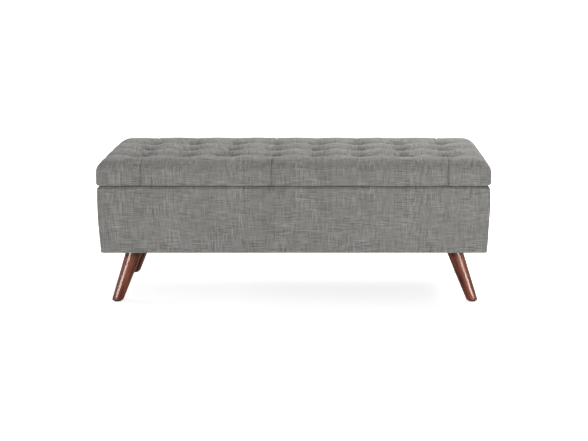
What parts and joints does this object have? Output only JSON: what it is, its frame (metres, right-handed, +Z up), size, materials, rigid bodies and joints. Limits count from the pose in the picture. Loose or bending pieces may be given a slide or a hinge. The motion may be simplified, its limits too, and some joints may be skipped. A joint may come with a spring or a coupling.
{
  "type": "storage bench",
  "caption": "Upholstered storage bench: a fabric-covered box on splayed wooden legs, with a padded tufted seat hinged along the back as its lid.",
  "frame": {"origin": "on the floor under the middle of the bench", "axes": "+X to the right seen from the front, +Y to the back, +Z up"},
  "size_m": [1.2, 0.44, 0.4652],
  "materials": {
    "upholstery": "warm grey linen-look weave",
    "plywood": "bare plywood",
    "softwood": "bare softwood",
    "foam": "soft upholstery foam",
    "lining": "black non-woven lining",
    "dust_cloth": "black non-woven dust cloth",
    "stained_wood": "reddish-brown stain under gloss lacquer",
    "glide_plastic": "dark nylon",
    "bumper_rubber": "soft rubber",
    "twine": "waxed twine",
    "black_steel": "black powder coat",
    "zinc_steel": "zinc plate"
  },
  "bodies": {
    "base": {"front_panel": "plywood", "back_panel": "plywood", "left_panel": "plywood", "right_panel": "plywood", "bottom_panel": "plywood", "corner_block_front_left": "softwood", "corner_block_front_right": "softwood", "corner_block_back_left": "softwood", "corner_block_back_right": "softwood", "front_padding": "foam", "back_padding": "foam", "left_padding": "foam", "right_padding": "foam", "base_cover": "upholstery", "box_lining": "lining", "dust_cover": "dust_cloth", "leg_front_left": "stained_wood", "leg_front_right": "stained_wood", "leg_back_left": "stained_wood", "leg_back_right": "stained_wood", "foot_glide_front_left": "glide_plastic", "foot_glide_front_right": "glide_plastic", "foot_glide_back_left": "glide_plastic", "foot_glide_back_right": "glide_plastic", "leg_plate_front_left": "black_steel", "leg_plate_front_right": "black_steel", "leg_plate_back_left": "black_steel", "leg_plate_back_right": "black_steel", "leg_bolts": "zinc_steel", "leg_plate_screws": "zinc_steel", "rim_bumpers": "bumper_rubber", "hinge_box_leaf_left": "zinc_steel", "hinge_box_leaf_middle": "zinc_steel", "hinge_box_leaf_right": "zinc_steel", "hinge_pins": "zinc_steel", "hinge_box_screws": "zinc_steel", "stay_box_bracket_left": "zinc_steel", "stay_box_bracket_right": "zinc_steel", "stay_box_screws": "zinc_steel"},
    "lid": {"lid_board": "plywood", "seat_foam": "foam", "seat_cover": "upholstery", "tuft_buttons": "upholstery", "tuft_ties": "twine", "lid_lining": "lining", "hinge_lid_leaf_left": "zinc_steel", "hinge_lid_leaf_middle": "zinc_steel", "hinge_lid_leaf_right": "zinc_steel", "hinge_lid_screws": "zinc_steel", "stay_lid_bracket_left": "zinc_steel", "stay_lid_bracket_right": "zinc_steel", "stay_lid_screws": "zinc_steel"},
    "lower_stay_left": {"stay_lower_bar_left": "zinc_steel", "stay_rivet_left": "zinc_steel"},
    "upper_stay_left": {"stay_upper_bar_left": "zinc_steel"},
    "lower_stay_right": {"stay_lower_bar_right": "zinc_steel", "stay_rivet_right": "zinc_steel"},
    "upper_stay_right": {"stay_upper_bar_right": "zinc_steel"}
  },
  "joints": [
    {"name": "lid_hinge", "type": "hinge", "parent": "base", "child": "lid", "pos_m": [0, 0.2162, 0.3776], "axis": [-1, 0, 0], "range_deg": [0, 90]},
    {"name": "stay_base_pivot_left", "type": "hinge", "parent": "base", "child": "lower_stay_left", "pos_m": [-0.562, 0.1542, 0.2526], "axis": [-1, 0, 0], "range_deg": [0, 90]},
    {"name": "stay_elbow_left", "type": "hinge", "parent": "lower_stay_left", "child": "upper_stay_left", "pos_m": [-0.562, 0.0042, 0.2406], "axis": [-1, 0, 0], "range_deg": [-90, 0]},
    {"name": "stay_base_pivot_right", "type": "hinge", "parent": "base", "child": "lower_stay_right", "pos_m": [0.562, 0.1542, 0.2526], "axis": [-1, 0, 0], "range_deg": [0, 90]},
    {"name": "stay_elbow_right", "type": "hinge", "parent": "lower_stay_right", "child": "upper_stay_right", "pos_m": [0.562, 0.0042, 0.2406], "axis": [-1, 0, 0], "range_deg": [-90, 0]}
  ],
  "couplings": [
    {"joint": "stay_base_pivot_left", "follows": "lid_hinge", "ratio": 1},
    {"joint": "stay_elbow_left", "follows": "lid_hinge", "ratio": -1},
    {"joint": "stay_base_pivot_right", "follows": "lid_hinge", "ratio": 1},
    {"joint": "stay_elbow_right", "follows": "lid_hinge", "ratio": -1}
  ]
}
